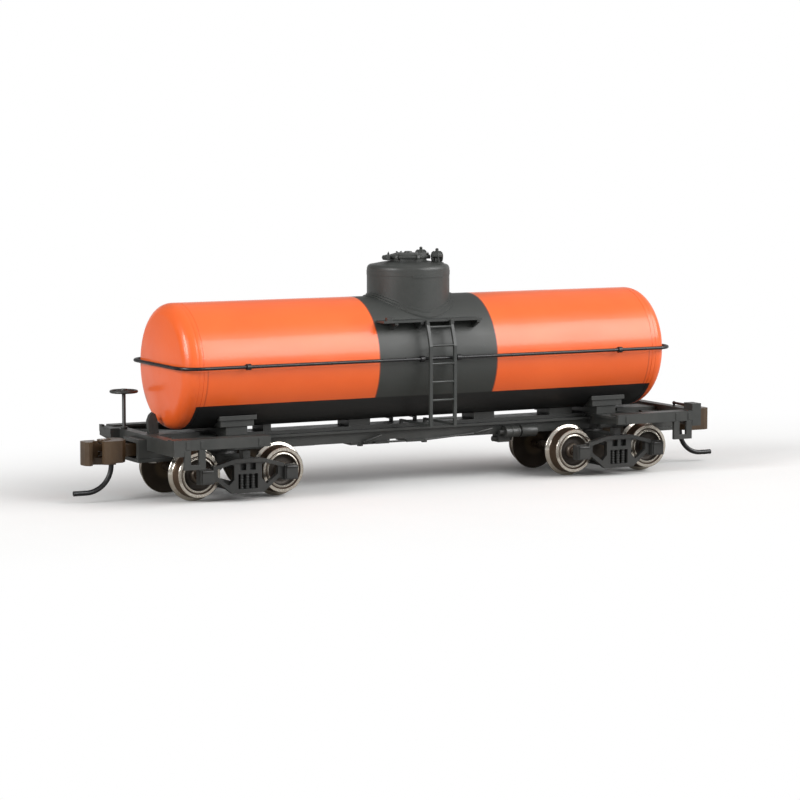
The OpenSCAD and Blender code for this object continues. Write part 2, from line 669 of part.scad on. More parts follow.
module coupler_shank(end) color("saddlebrown") on_rails() at_end(end) difference() {
    union() {
        translate([0, 0, tail_z + run_gap]) linear_extrude(head_top - tail_z - run_gap)
            polygon(guard_outline);
        translate([0, 0, head_bottom]) linear_extrude(head_top - head_bottom)
            intersection() {
                polygon(guard_outline);
                translate([37, 0.95]) square([4, 2]);
            }
        box([coupler_x, -0.6, 4.6], [37.1, 0.6, 6]);
        translate([coupler_x, 0, 4.6]) cylinder(r = 1.1, h = 1.4);
        // Ears that hold the knuckle's pin
        for (z = [tail_z + 0.2, head_top - 0.45]) translate([0, 0, z]) {
            translate([knuckle_x, knuckle_y, 0]) cylinder(r = 0.55, h = 0.4);
            translate([37.7, knuckle_y - 0.5, 0]) cube([knuckle_x - 37.7, 1, 0.4]);
        }
    }
    // Slot for the centring spring
    box([spring_x0 - 0.05, -spring_r - 0.12, 4], [spring_x1 + 0.05, spring_r + 0.12, 7]);
    translate([coupler_x, 0, 4]) cylinder(r = post_r + run_gap, h = 3);
    translate([knuckle_x, knuckle_y, 3]) cylinder(r = knuckle_pin_r + fit_gap, h = 5);
}

// Coil of round wire, swept along a helix
function helix_points(n, sides) = [for (i = [0:n]) let (
        turn = 360 * spring_turns * i / n,
        x = spring_x0 + wire_r + (spring_x1 - spring_x0 - 2 * wire_r) * i / n)
    for (j = [0:sides - 1]) let (b = 360 * j / sides, r = spring_r - wire_r + wire_r * cos(b))
        [x + wire_r * sin(b), r * cos(turn), 5.3 + r * sin(turn)]];

module centring_spring(end) color("goldenrod") on_rails() at_end(end) {
    n = 14 * spring_turns;
    sides = 6;
    polyhedron(helix_points(n, sides), concat(
        [for (i = [0:n - 1]) for (j = [0:sides - 1])
            [i * sides + j, i * sides + (j + 1) % sides, (i + 1) * sides + (j + 1) % sides,
                (i + 1) * sides + j]],
        [[for (j = [0:sides - 1]) sides - 1 - j], [for (j = [0:sides - 1]) n * sides + j]]));
}

module centring_spring_a() centring_spring("a");
module centring_spring_b() centring_spring("b");

module coupler_shank_a() coupler_shank("a");
module coupler_shank_b() coupler_shank("b");

// Hooked jaw: arm from the pin forward, nose turned in towards the guard arm
knuckle_outline = [[38.5, -1.75], [40.8, -1.75], [41.45, -1.5], [41.6, -0.9], [41.5, 0.1], [41.15, 0.5],
    [40.7, 0.4], [40.5, -0.1], [40.3, -0.55], [38.5, -0.6]];

module knuckle(end) color("saddlebrown") on_rails() at_end(end) difference() {
    union() {
        translate([0, 0, jaw_bottom]) linear_extrude(jaw_top - jaw_bottom) polygon(knuckle_outline);
        // Tail under the head that holds the trip pin
        translate([0, 0, jaw_bottom]) linear_extrude(tail_z - jaw_bottom)
            polygon([[38.5, -1.7], [40.2, -0.6], [39.4, -0.2], [38.7, 0.5], [37.9, 0.5], [37.8, -0.6]]);
    }
    // Clearance for the head's ears and for the head's own throat
    for (z = [tail_z + 0.2 - run_gap, head_top - 0.45 - run_gap])
        translate([knuckle_x, knuckle_y, z]) cylinder(r = 0.9, h = 0.5 + run_gap);
    translate([knuckle_x, knuckle_y, 3]) cylinder(r = knuckle_pin_r + run_gap, h = 5);
    translate([trip_x, 0, 3]) cylinder(r = trip_r + fit_gap, h = tail_z - 3 - 0.1);
}

module knuckle_a() knuckle("a");
module knuckle_b() knuckle("b");

module knuckle_pin(end) color("silver") on_rails() at_end(end)
    translate([knuckle_x, knuckle_y, tail_z + 0.2]) cylinder(r = knuckle_pin_r, h = head_top - tail_z - 0.2);

module knuckle_pin_a() knuckle_pin("a");
module knuckle_pin_b() knuckle_pin("b");

// Curved steel wire below the coupler, pulled by a track magnet
module trip_pin(end) color("black") on_rails() at_end(end) {
    bend_z = jaw_bottom - 0.04;
    translate([trip_x, 0, bend_z]) cylinder(r = trip_r, h = tail_z - bend_z - 0.12);
    translate([trip_x + trip_bend, 0, bend_z]) rotate([90, 180, 0])
        rotate_extrude(angle = 90) translate([trip_bend, 0]) circle(r = trip_r, $fn = 32);
    translate([0, 0, bend_z - trip_bend]) along_x(trip_x + trip_bend, trip_end, trip_r);
}

module trip_pin_a() trip_pin("a");
module trip_pin_b() trip_pin("b");

tank_barrel();
tank_head_a();
tank_head_b();
ballast_weight();
dome();
dome_hatch();
safety_valves();
walkway_near();
walkway_far();
ladder_near();
ladder_far();
handrail();
handrail_posts();
underframe();
saddle_a();
saddle_b();
stirrup_steps();
grab_irons();
brake_step();
brake_staff();
brake_wheel();
brake_cylinder();
air_reservoir();
control_valve();
brake_rods();
truck_frame_a();
truck_frame_b();
truck_pin_a();
truck_pin_b();
axle_1();
axle_2();
axle_3();
axle_4();
wheels_1();
wheels_2();
wheels_3();
wheels_4();
coupler_box_a();
coupler_box_b();
coupler_lid_a();
coupler_lid_b();
coupler_screw_a();
coupler_screw_b();
coupler_shank_a();
coupler_shank_b();
centring_spring_a();
centring_spring_b();
knuckle_a();
knuckle_b();
knuckle_pin_a();
knuckle_pin_b();
trip_pin_a();
trip_pin_b();
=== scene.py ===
import json
import math

import bmesh
import bpy
from mathutils import Matrix, Vector

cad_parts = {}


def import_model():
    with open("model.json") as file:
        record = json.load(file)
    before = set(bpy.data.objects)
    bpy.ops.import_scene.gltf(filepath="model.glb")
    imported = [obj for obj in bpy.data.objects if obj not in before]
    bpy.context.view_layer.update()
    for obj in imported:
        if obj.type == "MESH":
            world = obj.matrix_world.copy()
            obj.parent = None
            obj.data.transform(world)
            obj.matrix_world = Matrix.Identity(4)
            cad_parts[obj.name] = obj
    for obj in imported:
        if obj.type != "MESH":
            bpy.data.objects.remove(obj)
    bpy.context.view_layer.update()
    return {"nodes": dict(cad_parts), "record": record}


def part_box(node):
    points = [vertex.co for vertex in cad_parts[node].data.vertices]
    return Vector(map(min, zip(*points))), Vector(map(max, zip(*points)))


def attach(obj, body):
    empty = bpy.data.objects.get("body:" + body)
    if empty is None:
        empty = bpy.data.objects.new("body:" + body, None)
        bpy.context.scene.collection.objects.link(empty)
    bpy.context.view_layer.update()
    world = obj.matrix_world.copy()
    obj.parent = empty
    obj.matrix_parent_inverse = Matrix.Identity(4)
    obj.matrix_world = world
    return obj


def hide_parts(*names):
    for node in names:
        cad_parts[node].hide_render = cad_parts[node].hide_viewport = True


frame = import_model()

MM = 0.001
BODIES = frame["record"]["behaviour"]["bodies"]
BODY_OF = {node: body for body, nodes in BODIES.items() for node in nodes}
SLOT_OF = {part["node"]: part["material_slot"] for part in frame["record"]["subparts"]}

# Camera: its place in millimetres, the direction it stands in from the wagon in degrees, and its lens
CAMERA_AT = (-163.90, -307.03, 45.31)
CAMERA_AZIMUTH = -27.9
CAMERA_ELEVATION = 5.84
LENS = 132.3
SENSOR = 36
CLIP_START = 0.01
CLIP_END = 20

# Area lights: name, azimuth and elevation in degrees, size in metres, power in watts
LAMPS = (("key", 46, 30, (0.7, 0.4), 5.2), ("left", -78, 24, (0.3, 0.3), 3.4))
LAMP_DISTANCE = 0.7
LAMP_AIM = Vector((0, 0, 0.012))

# World light: least and most strength, and where it is most
SKY = 0.16, 0.6
SKY_WAY = (0.60104, -0.60104, 0.53)
# A bright strip low down behind the wagon: its strength, its height and its direction
STRIP = 0.9
STRIP_TOP = 0.35
STRIP_WAY = (0.47, 0.88, 0)

FLOOR_SIZE = 6
FLOOR_DROP = 0.00002
# Distances from the wagon in millimetres at which the floor starts and ends to change
FLOOR_FADE = 14, 60
TRACK_FADE = 25, 80


def mm_box(node):
    """Lowest and highest corner of a CAD node, in millimetres."""
    lo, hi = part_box(node)
    return lo / MM, hi / MM


def link(name, data):
    """Puts new data into the scene as an object."""
    thing = bpy.data.objects.new(name, data)
    bpy.context.scene.collection.objects.link(thing)
    return thing


def away(azimuth, elevation):
    """Direction from the wagon to a point seen at these angles in degrees."""
    a, e = math.radians(azimuth), math.radians(elevation)
    return Vector((math.sin(a) * math.cos(e), -math.cos(a) * math.cos(e), math.sin(e)))


def look(thing, direction):
    """Turns a camera or a lamp to look along a direction."""
    thing.rotation_mode = "QUATERNION"
    thing.rotation_quaternion = direction.to_track_quat("-Z", "Y")


# ---------------------------------------------------------------- shader nodes
class Nodes:
    """Short calls that add shader nodes to a tree and return what they give."""

    def __init__(self, tree):
        self.tree = tree

    def add(self, kind):
        return self.tree.nodes.new("ShaderNode" + kind)

    def put(self, socket, value):
        """Feeds a socket with another node's output, a colour, a vector or a number."""
        if isinstance(value, bpy.types.NodeSocket):
            self.tree.links.new(value, socket)
        elif isinstance(value, tuple) and len(value) == 3 and len(socket.default_value) == 4:
            socket.default_value = (*value, 1)
        else:
            socket.default_value = value

    def fill(self, node, values):
        for socket, value in zip(node.inputs, values):
            self.put(socket, value)

    def math(self, op, *values):
        node = self.add("Math")
        node.operation = op
        self.fill(node, values)
        return node.outputs[0]

    def vector(self, op, *values):
        node = self.add("VectorMath")
        node.operation = op
        self.fill(node, values)
        return node.outputs["Value" if op in ("LENGTH", "DOT_PRODUCT") else "Vector"]

    def ramp(self, value, lo, hi, to_lo=0.0, to_hi=1.0, curve="SMOOTHSTEP"):
        """A step from to_lo at lo to to_hi at hi."""
        node = self.add("MapRange")
        node.interpolation_type = curve
        self.fill(node, (value, lo, hi, to_lo, to_hi))
        return node.outputs["Result"]

    def blend(self, share, a, b):
        """A number that goes from a to b as share goes from 0 to 1."""
        node = self.add("Mix")
        self.put(node.inputs[0], share)
        self.put(node.inputs[2], a)
        self.put(node.inputs[3], b)
        return node.outputs[0]

    def mix(self, share, a, b):
        """A colour that goes from a to b as share goes from 0 to 1."""
        node = self.add("Mix")
        node.data_type = "RGBA"
        self.put(node.inputs[0], share)
        self.put(node.inputs[6], a)
        self.put(node.inputs[7], b)
        return node.outputs[2]

    def camera_ray(self):
        """1 for what the camera sees itself, 0 for light that falls on something else."""
        return self.add("LightPath").outputs["Is Camera Ray"]


class Shader(Nodes):
    """A Principled material. Its patterns are in millimetres of the wagon's own frame."""

    def __init__(self, name, rough=0.5, metal=0.0):
        self.mat = bpy.data.materials.new(name)
        self.mat.use_nodes = True
        super().__init__(self.mat.node_tree)
        self.bsdf = self.tree.nodes["Principled BSDF"]
        self.set("Roughness", rough)
        self.set("Metallic", metal)
        scale = self.add("VectorMath")
        scale.operation = "SCALE"
        scale.inputs["Scale"].default_value = 1 / MM
        self.put(scale.inputs[0], self.add("TexCoord").outputs["Object"])
        self.mm = scale.outputs["Vector"]
        split = self.add("SeparateXYZ")
        self.put(split.inputs[0], self.mm)
        self.x, self.y, self.z = split.outputs

    def set(self, name, value):
        self.put(self.bsdf.inputs[name], value)

    def noise(self, per_mm, detail=3.0, stretch=(1, 1, 1)):
        """Noise from 0 to 1 with about per_mm blots in a millimetre."""
        node = self.add("TexNoise")
        node.inputs["Scale"].default_value = per_mm
        node.inputs["Detail"].default_value = detail
        node.inputs["Roughness"].default_value = 0.55
        self.put(node.inputs["Vector"], self.vector("MULTIPLY", self.mm, stretch))
        return node.outputs["Fac"]

    def bump(self, height, depth_mm):
        """Adds a relief of the given depth on top of what is there."""
        node = self.add("Bump")
        node.inputs["Distance"].default_value = depth_mm * MM
        node.inputs["Strength"].default_value = 1.0
        self.put(node.inputs["Height"], height)
        old = self.bsdf.inputs["Normal"].links
        if old:
            self.put(node.inputs["Normal"], old[0].from_socket)
        self.set("Normal", node.outputs["Normal"])

    def edge(self, radius_mm):
        """1 in a face's middle, lower near its outer edges."""
        bevel = self.add("Bevel")
        bevel.inputs["Radius"].default_value = radius_mm * MM
        normal = self.add("NewGeometry").outputs["Normal"]
        return self.vector("DOT_PRODUCT", bevel.outputs["Normal"], normal)


# ---------------------------------------------------------------- camera, light, floor
def camera():
    """A long lens a little above the wagon, three-quarter from the brake end."""
    data = bpy.data.cameras.new("camera")
    data.lens = LENS
    data.sensor_width = SENSOR
    data.clip_start = CLIP_START
    data.clip_end = CLIP_END
    cam = link("camera", data)
    cam.location = Vector(CAMERA_AT) * MM
    look(cam, -away(CAMERA_AZIMUTH, CAMERA_ELEVATION))
    bpy.context.scene.camera = cam


def soft_box(name, azimuth, elevation, size, power):
    """An area light that looks at the wagon's middle."""
    data = bpy.data.lights.new(name, "AREA")
    data.shape = "RECTANGLE"
    data.size, data.size_y = size
    data.energy = power
    lamp = link(name, data)
    lamp.location = away(azimuth, elevation) * LAMP_DISTANCE + LAMP_AIM
    look(lamp, -away(azimuth, elevation))


def world():
    """White to the camera. What falls on the wagon is brighter from one side and from behind, low down."""
    sky = bpy.data.worlds.new("world")
    bpy.context.scene.world = sky
    sky.use_nodes = True
    nodes = Nodes(sky.node_tree)
    way = nodes.add("TexCoord").outputs["Generated"]
    split = nodes.add("SeparateXYZ")
    nodes.put(split.inputs[0], way)
    side = nodes.ramp(nodes.vector("DOT_PRODUCT", way, SKY_WAY), -0.5, 1.0, *SKY, "LINEAR")
    low_down = nodes.ramp(split.outputs["Z"], 0.0, STRIP_TOP, STRIP, 0.0, "LINEAR")
    behind = nodes.ramp(nodes.vector("DOT_PRODUCT", way, STRIP_WAY), 0.7, 0.95, curve="LINEAR")
    strength = nodes.math("MULTIPLY_ADD", low_down, behind, side)
    back = sky.node_tree.nodes["Background"]
    nodes.put(back.inputs["Color"], (1, 1, 1))
    nodes.put(back.inputs["Strength"], nodes.blend(nodes.camera_ray(), strength, 1.0))


def floor_card():
    """Pale matt card that turns to plain white away from the wagon, so that no horizon shows."""
    s = Shader("floor_card", rough=0.75)
    card = s.mix(s.ramp(s.noise(0.02, detail=4), 0.3, 0.7), (0.84, 0.838, 0.83), (0.88, 0.878, 0.87))
    s.set("Specular IOR Level", 0.15)
    s.bump(s.noise(1.5), 0.02)
    distance = s.vector("LENGTH", s.vector("MULTIPLY", s.mm, (0.45, 1, 0)))
    # What the wagon reflects is darker close by, where a track would lie
    track = s.mix(s.ramp(distance, *TRACK_FADE), (0.3, 0.29, 0.27), (0.65, 0.65, 0.65))
    s.set("Base Color", s.mix(s.camera_ray(), track, card))
    both = s.add("MixShader")
    s.put(both.inputs["Fac"], s.math("MULTIPLY", s.ramp(distance, *FLOOR_FADE), s.camera_ray()))
    s.put(both.inputs[1], s.bsdf.outputs["BSDF"])
    s.put(both.inputs[2], s.add("Emission").outputs["Emission"])
    s.put(s.tree.nodes["Material Output"].inputs["Surface"], both.outputs["Shader"])
    return s.mat


def floor():
    """A flat pale floor just under the wheels."""
    mesh = bpy.data.meshes.new("floor")
    bm = bmesh.new()
    bmesh.ops.create_grid(bm, x_segments=8, y_segments=8, size=FLOOR_SIZE)
    bmesh.ops.translate(bm, verts=bm.verts, vec=(0, 0, -FLOOR_DROP))
    bm.to_mesh(mesh)
    bm.free()
    mesh.materials.append(floor_card())
    link("floor", mesh)


# ---------------------------------------------------------------- materials
# The darker and the lighter tone of each moulded or painted finish
ORANGE = (0.86, 0.125, 0.02), (0.9, 0.14, 0.024)
BAND = (0.036, 0.039, 0.036), (0.044, 0.046, 0.043)
BELLY = (0.008, 0.008, 0.0085), (0.012, 0.012, 0.012)
WALKWAY = (0.03, 0.033, 0.031), (0.04, 0.042, 0.04)
FRAME = (0.034, 0.036, 0.034), (0.046, 0.047, 0.044)
TRUCK = (0.026, 0.027, 0.026), (0.038, 0.038, 0.036)
COUPLER = (0.055, 0.032, 0.016), (0.08, 0.049, 0.025)
# Single colours
WIRE = (0.007, 0.007, 0.008)
SEAM = (0.42, 0.05, 0.012)
BAND_RIM = (0.16, 0.03, 0.012)
DUST = (0.5, 0.45, 0.4)

# Bounds of the tank's colours in millimetres, and half the width of a paint edge
BAND_X = -7.7, 7.8
BARREL_X = -30.4, 30.0
BELLY_Z = 10.9
PAINT_EDGE = 0.045
RIM_WIDTH = 0.11
# The seam beside each head: its distance from the barrel's end, and where it fades out
SEAM_IN = 0.95
SEAM_TOP = 15.3
SEAM_FADE = 0.4


def moulded(name, tones, rough, grain=0.006, highlight_strength=0.3):
    """Injection-moulded plastic: faint mottling, fine grain, and edges painted a little lighter as a
    painted highlight.
    """
    s = Shader(name, rough=rough)
    body = s.mix(s.ramp(s.noise(0.35, detail=4), 0.3, 0.7), *tones)
    # Painted highlight: the edges are painted lighter, broken up by noise
    edge_highlight = s.math("MULTIPLY", s.ramp(s.edge(0.06), 0.995, 0.85), highlight_strength)
    broken = s.math("MULTIPLY", edge_highlight, s.ramp(s.noise(2.2), 0.35, 0.62))
    pale = tuple(2.0 * c + 0.012 for c in tones[1])
    s.set("Base Color", s.mix(broken, body, pale))
    s.set("Roughness", s.ramp(s.noise(0.9, detail=5), 0.25, 0.75, rough - 0.05, rough + 0.06))
    s.bump(s.noise(11, detail=2), grain * 0.4)
    s.bump(s.noise(1.1, detail=3), grain)
    return s.mat


def inside(s, value, lo, hi):
    """1 between lo and hi, with a soft paint edge at both."""
    above = s.ramp(value, lo - PAINT_EDGE, lo + PAINT_EDGE)
    return s.math("MULTIPLY", above, s.ramp(value, hi - PAINT_EDGE, hi + PAINT_EDGE, 1.0, 0.0))


def seam_line(s):
    """A fine line beside each head on the barrel's lower half."""
    first = s.math("ABSOLUTE", s.math("SUBTRACT", s.x, BARREL_X[0] + SEAM_IN))
    second = s.math("ABSOLUTE", s.math("SUBTRACT", s.x, BARREL_X[1] - SEAM_IN))
    line = s.ramp(s.math("MINIMUM", first, second), 0.03, 0.14, 1.0, 0.0)
    return s.math("MULTIPLY", line, s.ramp(s.z, SEAM_TOP - SEAM_FADE, SEAM_TOP, 0.55, 0.0))


def tank_paint():
    """Glossy orange with a dark band under the dome and a black belly."""
    s = Shader("tank_paint", rough=0.3)
    cloud = s.ramp(s.noise(0.12, detail=5), 0.3, 0.7)
    waver = s.math("MULTIPLY", s.math("SUBTRACT", s.noise(0.8, detail=2), 0.5), 0.05)
    x, z = s.math("ADD", s.x, waver), s.math("ADD", s.z, waver)
    band = inside(s, x, *BAND_X)
    under = s.ramp(z, BELLY_Z - PAINT_EDGE, BELLY_Z + PAINT_EDGE, 1.0, 0.0)
    belly = s.math("MULTIPLY", inside(s, x, *BARREL_X), under)
    rim = inside(s, x, BAND_X[0] - RIM_WIDTH, BAND_X[1] + RIM_WIDTH)
    colour = s.mix(seam_line(s), s.mix(cloud, *ORANGE), SEAM)
    colour = s.mix(s.math("MULTIPLY", rim, 0.75), colour, BAND_RIM)
    colour = s.mix(band, colour, s.mix(cloud, *BAND))
    colour = s.mix(belly, colour, s.mix(cloud, *BELLY))
    dust = s.math("MULTIPLY", s.ramp(s.noise(5, detail=4), 0.66, 0.8), 0.12)
    s.set("Base Color", s.mix(dust, colour, s.mix(0.5, colour, DUST)))
    dark = s.math("MAXIMUM", band, belly)
    smear = s.ramp(s.noise(0.5, detail=5, stretch=(0.3, 1, 1)), 0.3, 0.75)
    matt = s.math("ADD", s.math("MULTIPLY", dark, 0.16), s.math("MULTIPLY", smear, 0.1))
    s.set("Roughness", s.math("ADD", matt, 0.29))
    s.set("Coat Weight", s.ramp(dark, 0.0, 1.0, 0.25, 0.0))
    s.set("Coat Roughness", 0.12)
    s.bump(s.noise(2.2, detail=2), 0.003)
    s.bump(s.noise(0.25, detail=2), 0.012)
    return s.mat


def wire_finish(name, colour, rough):
    """Blackened wire, a little worn."""
    s = Shader(name, rough=rough)
    worn = s.ramp(s.noise(2.4, detail=4), 0.58, 0.75)
    s.set("Base Color", s.mix(worn, colour, tuple(2.2 * c + 0.01 for c in colour)))
    s.set("Roughness", s.ramp(s.noise(3.0), 0.3, 0.7, rough - 0.08, rough + 0.1))
    s.bump(s.noise(6, detail=3), 0.006)
    return s.mat


def turned_metal(name, colour, shade, rough):
    """Bright turned metal with fine tool marks and a slight tarnish."""
    s = Shader(name, rough=rough, metal=1.0)
    tarnish = s.ramp(s.noise(0.9, detail=5), 0.35, 0.75)
    s.set("Base Color", s.mix(tarnish, colour, shade))
    s.set("Roughness", s.ramp(s.noise(2.5, detail=4), 0.3, 0.7, rough * 0.75, rough * 1.4))
    s.bump(s.noise(9, detail=2), 0.003)
    return s.mat


BRIGHT = (0.74, 0.7, 0.63)
# Painted shade and painted reflection: the dark brown put into the wheel's grooves
GROOVE_SHADE = (0.07, 0.045, 0.03)
DISH = (0.05, 0.042, 0.036)
# Rings of a wheel's face from the axle outwards: outer radius in mm, colour, roughness, metallic
WHEEL_RINGS = (
    (0.42, BRIGHT, 0.2, 1.0),
    (0.62, GROOVE_SHADE, 0.45, 0.6),
    (0.95, (0.2, 0.17, 0.14), 0.35, 0.8),
    (1.8, DISH, 0.42, 0.5),
    (2.02, BRIGHT, 0.2, 1.0),
    (2.22, GROOVE_SHADE, 0.5, 0.3),
    (2.57, BRIGHT, 0.15, 1.0),
    # Painted shade and painted reflection: the dark brown ring at the tread's edge
    (2.7, (0.16, 0.11, 0.075), 0.35, 0.8),
    (9.0, BRIGHT, 0.14, 1.0),
)
# Distance of a wheel's back from the wagon's middle, in millimetres
WHEEL_BACK = 3.83


def wheel_face():
    """Turned wheel: bright tread and flange, darkened dish, and grooves between them. The dark rings in
    the grooves and at the tread's edge are painted shade and painted reflection, and the back is painted
    dark as painted shade.
    """
    s = Shader("wheel_face")
    radius = s.vector("LENGTH", s.vector("MULTIPLY", s.mm, (1, 1, 0)))
    tarnish = s.ramp(s.noise(1.4, detail=5), 0.35, 0.8)
    edge, colour, rough, metal = WHEEL_RINGS[0]
    for next_edge, ring, ring_rough, ring_metal in WHEEL_RINGS[1:]:
        share = s.ramp(radius, edge - 0.02, edge + 0.02)
        colour = s.mix(share, colour, ring)
        rough = s.blend(share, rough, ring_rough)
        metal = s.blend(share, metal, ring_metal)
        edge = next_edge
    brown = s.vector("MULTIPLY", colour, (0.72, 0.62, 0.52))
    colour = s.mix(s.math("MULTIPLY", tarnish, 0.5), colour, brown)
    # The wheel's back is painted dark as painted shade, with a paler patch round the axle as a painted
    # highlight
    back = s.ramp(s.z, WHEEL_BACK + 0.02, WHEEL_BACK + 0.14, 1.0, 0.0)
    shaded_back = s.mix(s.ramp(radius, 1.0, 1.7), (0.12, 0.085, 0.05), (0.045, 0.033, 0.022))
    s.set("Base Color", s.mix(back, colour, shaded_back))
    s.set("Metallic", s.blend(back, metal, 0.3))
    s.set("Roughness", s.blend(back, s.math("ADD", rough, s.math("MULTIPLY", tarnish, 0.1)), 0.5))
    s.bump(s.math("SINE", s.math("MULTIPLY", radius, 120.0)), 0.0015)
    s.bump(s.noise(4, detail=3), 0.004)
    return s.mat


MATERIALS = {
    "tank_paint": tank_paint(),
    "dome_paint": moulded("dome_paint", BAND, 0.4, grain=0.004, highlight_strength=0.25),
    "walkway_plastic": moulded("walkway_plastic", WALKWAY, 0.42),
    "black_wire": wire_finish("black_wire", WIRE, 0.34),
    "frame_plastic": moulded("frame_plastic", FRAME, 0.4),
    "truck_plastic": moulded("truck_plastic", TRUCK, 0.42),
    "wheel_metal": wheel_face(),
    "axle_metal": turned_metal("axle_metal", (0.32, 0.27, 0.22), (0.16, 0.12, 0.09), 0.32),
    "coupler_plastic": moulded("coupler_plastic", COUPLER, 0.33, highlight_strength=0.6),
    "screw_metal": turned_metal("screw_metal", (0.55, 0.53, 0.5), (0.35, 0.33, 0.3), 0.25),
    "spring_metal": turned_metal("spring_metal", (0.6, 0.52, 0.36), (0.4, 0.33, 0.2), 0.25),
    "ballast_metal": turned_metal("ballast_metal", (0.4, 0.4, 0.41), (0.22, 0.21, 0.2), 0.5),
}

# ---------------------------------------------------------------- CAD nodes
# Start of the node's name, and the width of its edges' bevel in millimetres
BEVELS = {"truck_frame": 0.05, "underframe": 0.05, "saddle": 0.05, "coupler": 0.04, "knuckle": 0.06,
          "stirrup": 0.04, "walkway": 0.03, "ladder": 0.05, "brake": 0.03, "control": 0.05, "air": 0.03}
WELD = 1e-6


def round_edges(piece, width_mm, angle):
    """Bevels the edges that are sharper than the angle in degrees."""
    bevel = piece.modifiers.new("bevel", "BEVEL")
    bevel.width = width_mm * MM
    bevel.segments = 2
    bevel.limit_method = "ANGLE"
    bevel.angle_limit = math.radians(angle)
    bevel.harden_normals = True


def soften(node, width_mm):
    """Welds a CAD node's split edges, joins its flat triangles and rounds its sharp edges a little."""
    weld = node.modifiers.new("weld", "WELD")
    weld.merge_threshold = WELD
    flat = node.modifiers.new("flat", "DECIMATE")
    flat.decimate_type = "DISSOLVE"
    flat.angle_limit = math.radians(0.5)
    round_edges(node, width_mm, 35)


def dress_cad():
    """Gives each CAD node its slot's material, and rounds the moulded ones' edges."""
    for name, node in frame["nodes"].items():
        node.data.materials.clear()
        node.data.materials.append(MATERIALS[SLOT_OF[name]])
        for start, width in BEVELS.items():
            if name.startswith(start):
                soften(node, width)


# ---------------------------------------------------------------- new pieces
def stand_in(bm, name, slot, node, place=Matrix()):
    """Makes a piece of a bmesh, in place of a CAD node and on the same body."""
    bmesh.ops.recalc_face_normals(bm, faces=bm.faces)
    mesh = bpy.data.meshes.new(name)
    bm.to_mesh(mesh)
    bm.free()
    mesh.materials.append(MATERIALS[slot])
    piece = link(name, mesh)
    piece.matrix_world = place
    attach(piece, BODY_OF[node])
    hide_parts(node)
    return piece


def turned(outline, segments):
    """A bmesh of an outline of (radius, height) in millimetres, turned round the z axis."""
    bm = bmesh.new()
    turns = [2 * math.pi * i / segments for i in range(segments)]
    rings = []
    for radius, height in outline:
        points = [(radius * math.cos(t), radius * math.sin(t), height) for t in (turns if radius else [0])]
        rings.append([bm.verts.new(Vector(p) * MM) for p in points])
    for a, b in zip(rings, rings[1:]):
        for i in range(segments):
            j = (i + 1) % segments
            corners = (a[i % len(a)], a[j % len(a)], b[j % len(b)], b[i % len(b)])
            loop = list(dict.fromkeys(corners))
            if len(loop) > 2:
                bm.faces.new(loop).smooth = True
    return bm


def sharpen(piece, angle):
    """Shades the edges that are sharper than the angle in degrees as hard ones."""
    piece.data.set_sharp_from_angle(angle=math.radians(angle))


def place_at(x, y, z, axis=(0, 0, 1)):
    """A frame at a point in millimetres whose z axis looks along the given direction."""
    turn = Vector(axis).to_track_quat("Z", "Y").to_matrix().to_4x4()
    return Matrix.Translation(Vector((x, y, z)) * MM) @ turn


def arc(cx, cy, r, a0, a1, n):
    """Points of a circular arc, with the angles in degrees."""
    angles = [math.radians(a0 + (a1 - a0) * i / n) for i in range(n + 1)]
    return [(cx + r * math.cos(a), cy + r * math.sin(a)) for a in angles]


def wheel_outline(flange, back, face):
    """Section of one wheel as (radius, distance along the axle), open at the axle."""
    tread = flange - 0.5
    rim = arc(flange - 0.16, back + 0.16, 0.16, -80, 55, 8)
    fillet = [(tread + 0.16, back + 0.37), (tread + 0.07, back + 0.47), (tread + 0.03, back + 0.6)]
    edge = [(tread - 0.03, face - 0.07), (tread - 0.05, face - 0.03), (tread - 0.09, face)]
    groove = [(2.14, face), (2.11, face - 0.03), (2.08, face - 0.13), (1.98, face - 0.13),
              (1.95, face - 0.04), (1.92, face - 0.02), (1.85, face - 0.02)]
    dish = arc(1.3, face - 0.02, 0.52, 0, -90, 10)
    hub = [(0.98, face - 0.52), (0.9, face - 0.42), (0.82, face - 0.14), (0.78, face - 0.1),
           (0.41, face - 0.08)]
    return [(0.4, back), (flange - 0.2, back)] + rim + fillet + edge + groove + dish + hub


def wheelset(number):
    """Two turned wheels in place of the CAD ones."""
    node = f"wheels_{number}"
    lo, hi = mm_box(node)
    mid = (lo + hi) / 2
    outline = wheel_outline((hi.z - lo.z) / 2, WHEEL_BACK, hi.y)
    for side, axis in (("near", (0, -1, 0)), ("far", (0, 1, 0))):
        place = place_at(mid.x, 0, mid.z, axis)
        wheel = stand_in(turned(outline, 160), f"wheel_{number}_{side}", "wheel_metal", node, place)
        sharpen(wheel, 35)


def lathe(name, outline, place, slot, node, segments):
    """A turned piece whose patterns use the wagon's own frame."""
    bm = turned(outline, segments)
    bm.transform(place)
    sharpen(stand_in(bm, name, slot, node), 28)


def barrel():
    """The tank's cylinder, with the lip of each head's joint turned into its ends."""
    lo, hi = mm_box("tank_barrel")
    r, mid, half = (hi.z - lo.z) / 2, (lo + hi) / 2, (hi.x - lo.x) / 2
    inner = r - 0.8
    lip = [(inner, half), (r - 0.05, half), (r - 0.015, half - 0.02), (r, half - 0.06), (r, half - 0.5),
           (r - 0.035, half - 0.52), (r - 0.035, half - 0.56), (r, half - 0.58)]
    outline = [(radius, -x) for radius, x in lip] + lip[::-1] + [(inner, -half)]
    lathe("tank_shell", outline, place_at(mid.x, 0, mid.z, (1, 0, 0)), "tank_paint", "tank_barrel", 256)


